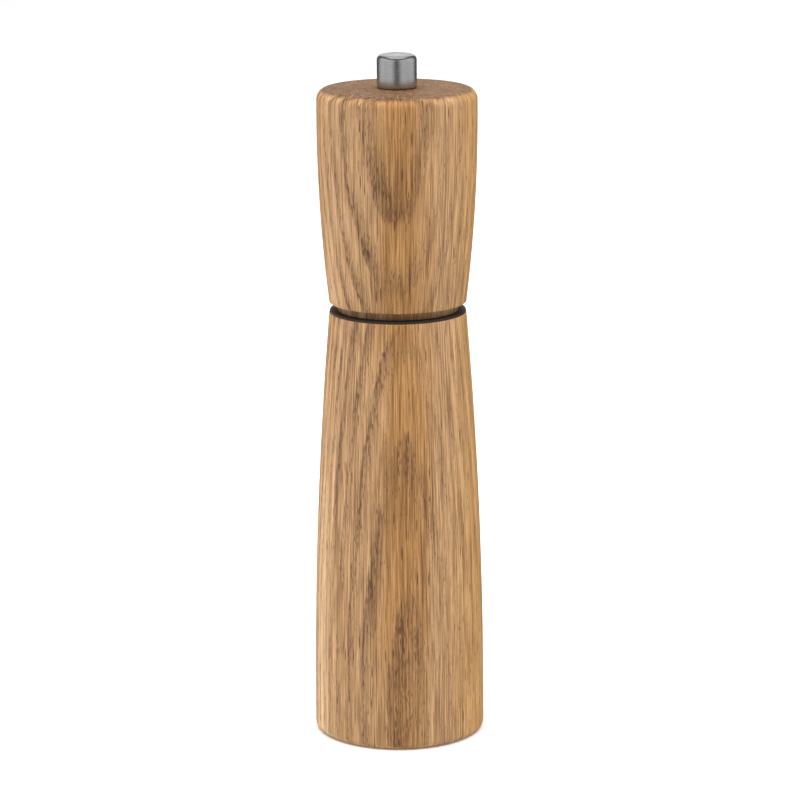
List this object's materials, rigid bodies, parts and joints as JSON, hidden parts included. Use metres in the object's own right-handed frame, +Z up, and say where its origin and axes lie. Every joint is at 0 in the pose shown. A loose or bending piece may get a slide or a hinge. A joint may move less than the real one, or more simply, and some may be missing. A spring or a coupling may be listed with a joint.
{
  "type": "pepper mill",
  "caption": "Tall tapered wooden pepper mill with a turning head, a steel grind-setting knob and a ceramic cone grinder on a square spindle.",
  "frame": {"origin": "centre of the face that the mill stands on", "axes": "+Z up along the mill's axis; -Y is the side seen from the front"},
  "size_m": [0.0596, 0.0596, 0.24],
  "materials": {
    "oak": "oiled",
    "black_plastic": "satin",
    "white_ceramic": "fired, unglazed",
    "knob_steel": "brushed",
    "bright_steel": "ground",
    "brass": "turned",
    "nylon": "satin"
  },
  "bodies": {
    "base": {"body": "oak", "slide_ring": "black_plastic", "grinder_housing": "black_plastic", "stator": "white_ceramic", "bottom_cover": "black_plastic", "cover_screws": "bright_steel", "bridge": "bright_steel", "bearing_bush": "nylon"},
    "drive": {"bearing_sleeve": "brass", "spring": "bright_steel"},
    "spindle": {"spindle": "bright_steel", "rotor": "white_ceramic", "rotor_hub": "black_plastic", "spindle_washer": "bright_steel", "spindle_nut": "bright_steel", "spindle_clip": "bright_steel"},
    "head": {"head": "oak", "drive_plate": "bright_steel", "drive_plate_screws": "bright_steel", "head_ferrule": "brass"},
    "knob_washer": {"knob_washer": "nylon"},
    "knob": {"knob": "knob_steel", "knob_insert": "brass"}
  },
  "joints": [
    {"name": "head_turn", "type": "hinge", "parent": "base", "child": "drive", "pos_m": [0, 0, 0.0392], "axis": [0, 0, 1], "continuous": true},
    {"name": "grind_gap", "type": "slide", "parent": "drive", "child": "spindle", "axis": [0, 0, 1], "range_m": [-0.0012, 0.0012], "deforming": ["spring"]},
    {"name": "head_lift", "type": "slide", "parent": "drive", "child": "head", "axis": [0, 0, 1], "range_m": [0, 0.1]},
    {"name": "knob_lift", "type": "slide", "parent": "head", "child": "knob_washer", "axis": [0, 0, 1], "range_m": [0, 0.03]},
    {"name": "knob_turn", "type": "hinge", "parent": "knob_washer", "child": "knob", "pos_m": [0, 0, 0.2284], "axis": [0, 0, 1], "range_deg": [-540, 540]}
  ],
  "couplings": [
    {"joint": "knob_turn", "follows": "grind_gap", "rad_per_m": -7854}
  ]
}
